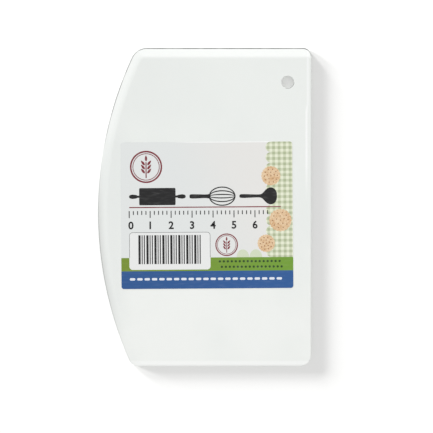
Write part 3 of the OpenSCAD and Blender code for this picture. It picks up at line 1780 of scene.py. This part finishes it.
@dataclass
class Medallion:
    """A round mark with an ear of wheat in it. All its sizes but the radius are shares of the radius."""

    film: Film
    name: str
    centre: Point
    radius: float
    ring: float = 0.1
    inner_ring: float = 0.84
    inner_line: float = 0.045
    ring_points: int = 72
    stem: Point = (0.07, 1.0)
    stem_middle: float = -0.2
    stem_corner: float = 0.025
    grain_length: float = 0.38
    grain_half_width: float = 0.085
    grain_outline: tuple[Point, ...] = ((0.0, 0.2), (0.2, 0.8), (0.55, 1.0), (1.0, 0.1))
    grain_pairs: int = 3
    grain_from_stem: float = 0.08
    lowest_grain: float = -0.4
    grain_step: float = 0.25
    top_grain: float = 0.34
    lean: float = math.radians(38)

    def grain(self) -> bpy.types.Object:
        """One grain, a pointed drop along X with its foot at the origin."""
        length, half_width = self.grain_length * self.radius, self.grain_half_width * self.radius
        return flat_strip(scaled(self.grain_outline, length, half_width))

    def rings(self) -> list[bpy.types.Object]:
        """The two rings.

        Returns:
            The flat shapes, round the origin.
        """
        parts = []
        for size, line in ((1.0, self.ring), (self.inner_ring, self.inner_line)):
            radii = (self.radius * size, self.radius * size)
            parts.append(flat_ring((0.0, 0.0), radii, self.radius * line, self.ring_points))
        return parts

    def ear(self) -> list[bpy.types.Object]:
        """The stem and its grains.

        Returns:
            The flat shapes, round the origin.
        """
        radius, upright = self.radius, math.pi / 2
        size = (self.stem[0] * radius, self.stem[1] * radius)
        parts = [flat_plate((0.0, self.stem_middle * radius), size, self.stem_corner * radius, steps=2)]
        grain = self.grain()
        for pair in range(self.grain_pairs):
            foot = (self.lowest_grain + self.grain_step * pair) * radius
            for side in (-1, 1):
                place = (side * self.grain_from_stem * radius, foot)
                parts.append(copied(grain, place, upright - side * self.lean))
        parts.append(copied(grain, (0.0, self.top_grain * radius), upright))
        return parts

    def build(self) -> bpy.types.Object:
        """Models the rings and the ear as one solid of ink.

        Returns:
            The finished piece without its material.
        """
        placed = [copied(part, self.centre) for part in self.rings() + self.ear()]
        remove_unprinted(placed)
        return self.film.printed(placed, self.name, Layer.MIDDLE)


@dataclass
class KitchenBorder:
    """The picture side of the label: a checked ribbon, three biscuits and a row of scallops."""

    film: Film
    ribbon_left: float = 30.6 * MM
    ribbon_top: float = 34.9 * MM
    scallop: float = 2.3 * MM
    scallop_share: float = 0.49
    scallop_points: int = 30
    biscuits: tuple[tuple[float, float, float], ...] = (
        (30.6, 18.6, 4.6),
        (35.0, -2.6, 5.4),
        (28.2, -13.6, 4.2),
    )
    crimps: int = 20
    crimp_depth: float = 0.94
    prick: float = 0.3 * MM
    prick_rings: tuple[tuple[float, int], ...] = ((0.0, 1), (0.36, 5), (0.68, 10))
    low_scallop: float = 3.0 * MM
    low_height: float = 3.75 * MM
    low_gap: float = 0.2 * MM
    low_left: float = 14.0 * MM

    @property
    def right(self) -> float:
        """Where the picture side ends, just short of the film's edge."""
        return self.film.width / 2 - 0.1 * MM

    def ribbon(self) -> bpy.types.Object:
        """Models the checked ribbon with its scalloped left edge.

        Returns:
            The finished piece without its material.
        """
        bottom = self.film.green_top
        width, height = self.right - self.ribbon_left, self.ribbon_top - bottom
        middle = (self.ribbon_left + width / 2, bottom + height / 2)
        strip = flat_plate(middle, (width, height))
        edit(strip, lambda point: point.x > middle[0] and point.y > middle[1])
        bpy.ops.mesh.bevel(offset=self.film.corner, segments=self.film.corner_steps, affect="VERTICES")
        parts = [finished_edit()]
        count = int(height // (2 * self.scallop))
        pitch = height / count
        radius = self.scallop_share * pitch
        for step in range(count):
            centre = (self.ribbon_left, bottom + pitch * (step + 0.5))
            parts.append(flat_disc(centre, (radius, radius), self.scallop_points))
        return self.film.printed(parts, "checked_ribbon", Layer.GROUND, overlapping=True)

    def biscuit_discs(self) -> bpy.types.Object:
        """Models the biscuits, each with a crimped edge.

        Returns:
            The finished piece without its material.
        """

        def in_crimp(point: Vector) -> bool:
            """Whether a point of the edge lies at the bottom of a crimp."""
            return math.cos(self.crimps * math.atan2(point.y, point.x)) < -0.5

        parts = []
        for u, v, radius in self.biscuits:
            disc = flat_disc((0.0, 0.0), (radius * MM, radius * MM), self.crimps * 4)
            edit(disc, in_crimp)
            drawn_in = (self.crimp_depth, self.crimp_depth, 1)
            bpy.ops.transform.resize(value=drawn_in, center_override=(0, 0, 0))
            parts.append(copied(finished_edit(), (u * MM, v * MM)))
        remove_unprinted(parts)
        return self.film.printed(parts, "biscuits", Layer.MIDDLE)

    def biscuit_holes(self) -> bpy.types.Object:
        """Models the dots pricked in the biscuits.

        Returns:
            The finished piece without its material.
        """
        dot = flat_disc((0.0, 0.0), (self.prick, self.prick), points=10)
        parts = []
        for u, v, radius in self.biscuits:
            for ring, count in self.prick_rings:
                for step in range(count):
                    angle = 2 * math.pi * step / count + ring
                    away = ring * radius * MM
                    place = (u * MM + away * math.cos(angle), v * MM + away * math.sin(angle))
                    parts.append(copied(dot, place))
        remove_unprinted(parts)
        return self.film.printed(parts, "biscuit_dots", Layer.TOP)

    def low_scallops(self) -> bpy.types.Object:
        """Models the pale row of scallops that stands on the green band.

        Returns:
            The finished piece without its material.
        """
        parts, place = [], self.low_left
        while place + 2 * self.low_scallop < self.ribbon_left:
            centre = (place + self.low_scallop, self.film.green_top)
            disc = flat_disc(centre, (self.low_scallop, self.low_height), points=32)
            edit(disc)
            bpy.ops.mesh.bisect(plane_co=(0, centre[1], 0), plane_no=(0, 1, 0), clear_inner=True)
            parts.append(finished_edit())
            place += 2 * self.low_scallop + self.low_gap
        return self.film.printed(parts, "pale_scallops", Layer.GROUND)


@dataclass
class BandTrim:
    """The dots on the green band and the running stitch on the blue one."""

    film: Film
    dots_left: float = 6.0 * MM
    dots_right: float = 35.5 * MM
    dot_radius: float = 0.55 * MM
    dot_pitch: float = 1.9 * MM
    dot_rows: tuple[float, ...] = (-22.1, -24.7)
    stitch_left: float = -37.0 * MM
    stitch_right: float = 34.6 * MM
    stitch_middle: float = -30.4 * MM
    stitch_length: float = 2.6 * MM
    stitch_gap: float = 0.9 * MM
    stitch_line: float = 1.15 * MM
    stitch_corner: float = 0.5175 * MM

    def dots(self) -> bpy.types.Object:
        """Models two rows of dots, set like bricks.

        Returns:
            The finished piece without its material.
        """
        dot = flat_disc((0.0, 0.0), (self.dot_radius, self.dot_radius), points=16)
        parts = []
        for row, v in enumerate(self.dot_rows):
            place = self.dots_left + row * self.dot_pitch / 2
            while place < self.dots_right:
                parts.append(copied(dot, (place, v * MM)))
                place += self.dot_pitch
        remove_unprinted(parts)
        return self.film.printed(parts, "band_dots", Layer.MIDDLE)

    def stitches(self) -> bpy.types.Object:
        """Models the running stitch.

        Returns:
            The finished piece without its material.
        """
        size = (self.stitch_length, self.stitch_line)
        stitch = flat_plate((0.0, 0.0), size, self.stitch_corner, steps=4)
        parts, place = [], self.stitch_left + self.stitch_length / 2
        while place < self.stitch_right:
            parts.append(copied(stitch, (place, self.stitch_middle)))
            place += self.stitch_length + self.stitch_gap
        remove_unprinted(parts)
        return self.film.printed(parts, "running_stitch", Layer.MIDDLE)


@dataclass
class Label:
    """The whole printed label."""

    film: Film
    large_mark: Point = (-28.9 * MM, 23.2 * MM)
    large_radius: float = 7.7 * MM
    small_mark: Point = (9.3 * MM, -14.2 * MM)
    small_radius: float = 5.4 * MM
    black: Ink = Ink("black_ink", srgb(14, 14, 16), srgb(20, 19, 20), 0.04)
    red: Ink = Ink("dark_red_ink", srgb(120, 32, 44), srgb(128, 44, 52), 0.1)
    grey: Ink = Ink("grey_ink", srgb(108, 110, 110), srgb(108, 110, 110))
    white: Ink = Ink("white_ink", srgb(232, 233, 232), srgb(233, 234, 233), 0.1)
    green: Ink = Ink("green_ink", srgb(116, 141, 44), srgb(112, 154, 50), 0.03)
    blue: Ink = Ink("blue_ink", srgb(38, 83, 141), srgb(42, 88, 148), 0.03)
    dark_green: Ink = Ink("dark_green_ink", srgb(38, 62, 20), srgb(34, 66, 20), 0.04)
    stitch_white: Ink = Ink("stitch_ink", srgb(226, 231, 240), srgb(226, 231, 240), 0.05)
    pale_green: Ink = Ink("pale_green_ink", srgb(214, 220, 196), srgb(208, 218, 190), 0.2)
    crumb_brown: Ink = Ink("brown_ink", srgb(170, 122, 84), srgb(160, 112, 78), 0.1)

    def build(self) -> list[bpy.types.Object]:
        """Models and dresses the film and everything printed on it.

        Returns:
            The pieces, with the film first.
        """
        film = self.film
        base = film.build()
        for material in (PrintedFilm().material(film), self.green.material(film), self.blue.material(film)):
            base.data.materials.append(material)
        film.paint_bands(base)

        scale, panel, trim = CentimetreScale(film), BarPanel(film), BandTrim(film)
        border = KitchenBorder(film)
        large = Medallion(film, "wheat_mark_large", self.large_mark, self.large_radius)
        small = Medallion(film, "wheat_mark_small", self.small_mark, self.small_radius)
        black, red = self.black.material(film), self.red.material(film)
        inked = [
            (border.ribbon(), Gingham().material(film)),
            (border.low_scallops(), self.pale_green.material(film)),
            (border.biscuit_discs(), Baked().material(film)),
            (border.biscuit_holes(), self.crumb_brown.material(film)),
            (UtensilRow(film).build(), black),
            (scale.rule(), red),
            (scale.build(), black),
            (panel.panel(), self.white.material(film)),
            (panel.border(), self.grey.material(film)),
            (panel.bars(), black),
            (large.build(), red),
            (small.build(), red),
            (trim.dots(), self.dark_green.material(film)),
            (trim.stitches(), self.stitch_white.material(film)),
        ]
        for piece, material in inked:
            piece.data.materials.clear()
            piece.data.materials.append(material)
        return [base] + [piece for piece, _ in inked]


# The studio


class Lit(Enum):
    """What a light is limited to."""

    FLOOR = "floor_only"
    SCRAPER = "scraper_only"


@dataclass(frozen=True)
class Sun:
    """One soft light from far away.

    Its bearing runs from +X towards +Y and its rise from the horizon up, both in degrees, as is its
    spread. A strength of 1 lights a surface that faces it as a white dome would.
    """

    name: str
    bearing: float
    rise: float
    spread: float
    strength: float
    on: Lit


@dataclass
class Studio:
    """The floor, the lights, the camera and the world."""

    pieces: Sequence[bpy.types.Object]
    floor_size: float = 4.0
    floor_drop: float = 20 * MICRON
    floor_tone: Colour = srgb(247, 247, 246)
    floor_light: Colour = srgb(250, 250, 250)
    floor_grain: float = 0.5
    floor_uneven: float = 0.1
    floor_roughness: float = 0.7
    floor_specular: float = 0.1
    dome: float = 0.765
    suns: tuple[Sun, ...] = (
        Sun("window_upper", 133, 7.5, 11, 1.42, Lit.FLOOR),
        Sun("window_side", 155, 7.5, 11, 1.42, Lit.FLOOR),
        Sun("top_softbox", 108, 15, 40, 0.77, Lit.SCRAPER),
        Sun("low_fill", -75, 15, 40, 0.14, Lit.SCRAPER),
    )
    camera_x: float = 5.65 * MM
    camera_y: float = -4.55 * MM
    view_width: float = 206.6 * MM
    lens: float = 100.0
    sensor: float = 36.0
    receivers: dict[Lit, bpy.types.Collection] = field(default_factory=dict)

    def receiver(self, what: Lit, objects: Sequence[bpy.types.Object]) -> None:
        """Keeps a collection of objects that lights are limited to.

        Args:
            what: Which lights it is for.
            objects: What they light.
        """
        collection = bpy.data.collections.new(what.value)
        for thing in objects:
            collection.objects.link(thing)
        self.receivers[what] = collection

    def floor(self) -> bpy.types.Object:
        """Lays the pale floor.

        Returns:
            The floor.
        """
        deselect()
        bpy.ops.mesh.primitive_plane_add(size=self.floor_size, location=(0, 0, -self.floor_drop))
        floor = applied(bpy.context.object)
        floor.name = "floor"
        material, nodes = new_material("pale_floor")
        grain = nodes.noise(nodes.place(), self.floor_grain) * self.floor_uneven
        nodes.surface(
            {
                "Base Color": nodes.mix(grain, self.floor_tone, self.floor_light),
                "Roughness": self.floor_roughness + grain,
                "Specular IOR Level": self.floor_specular,
            }
        )
        floor.data.materials.append(material)
        return floor

    def shine(self, sun: Sun) -> None:
        """Adds one of the suns.

        Args:
            sun: The light's name, direction, strength and receivers.
        """
        light = bpy.data.lights.new(sun.name, "SUN")
        light.energy = sun.strength * math.pi
        light.angle = math.radians(sun.spread)
        lamp = bpy.data.objects.new(sun.name, light)
        bpy.context.scene.collection.objects.link(lamp)
        bearing, rise = math.radians(sun.bearing), math.radians(sun.rise)
        level = math.cos(rise)
        towards = Vector((math.cos(bearing) * level, math.sin(bearing) * level, math.sin(rise)))
        lamp.rotation_euler = towards.to_track_quat("Z", "Y").to_euler()
        lamp.light_linking.receiver_collection = self.receivers[sun.on]
        # The sheen on the scraper comes from the white surroundings alone.
        lamp.visible_glossy = False

    def world(self) -> None:
        """Lights the scene from all round, and shows white behind everything."""
        world = bpy.data.worlds.new("studio")
        bpy.context.scene.world = world
        world.use_nodes = True
        nodes = Nodes(world.node_tree)
        path = nodes.node("ShaderNodeLightPath", {}, {})
        seen = Value(nodes, path.outputs["Is Camera Ray"])
        seen = seen.higher(Value(nodes, path.outputs["Is Glossy Ray"]))
        seen = seen.higher(Value(nodes, path.outputs["Is Transmission Ray"]))
        strength = self.dome + seen * (1 - self.dome)
        white = (1.0, 1.0, 1.0, 1.0)
        shown = nodes.node("ShaderNodeBackground", {}, {"Color": white, "Strength": strength})
        nodes.node("ShaderNodeOutputWorld", {}, {"Surface": shown.outputs["Background"]})

    def camera(self, height: float) -> None:
        """Hangs the camera straight above the plate's front face.

        Args:
            height: Height of that face.
        """
        camera = bpy.data.cameras.new("camera")
        camera.lens = self.lens
        camera.sensor_width = self.sensor
        distance = self.view_width * self.lens / self.sensor
        hung = bpy.data.objects.new("camera", camera)
        hung.location = (self.camera_x, self.camera_y, height + distance)
        bpy.context.scene.collection.objects.link(hung)
        bpy.context.scene.camera = hung

    def build(self, height: float) -> None:
        """Sets the whole studio up.

        Args:
            height: Height of the plate's front face.
        """
        self.receiver(Lit.FLOOR, [self.floor()])
        self.receiver(Lit.SCRAPER, self.pieces)
        self.world()
        for sun in self.suns:
            self.shine(sun)
        self.camera(height)
        bpy.context.scene.view_settings.view_transform = "Standard"


def dress(pieces: Sequence[bpy.types.Object], node: str) -> None:
    """Lets pieces ride on the object's body in place of a CAD node.

    Args:
        pieces: The pieces, of which the first stands for the node.
        node: Name of the CAD node.
    """
    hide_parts(node)
    for piece in pieces:
        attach(piece, BODY)
        log.info("%s: %d faces, rides on %s for %s", piece.name, len(piece.data.polygons), BODY, node)


def main() -> None:
    """Builds the scraper and the studio round it."""
    logging.basicConfig(level=logging.INFO, format="%(name)s: %(message)s")
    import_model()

    plate = Plate(*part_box("blade"))
    moulding = plate.build()
    moulding.data.materials.clear()
    moulding.data.materials.append(MouldedPlastic().material(plate))
    dress([moulding], "blade")

    printed = Label(Film(*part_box("label"))).build()
    dress(printed, "label")

    Studio([moulding, *printed]).build(plate.high.z)


if __name__ == "__main__":
    main()
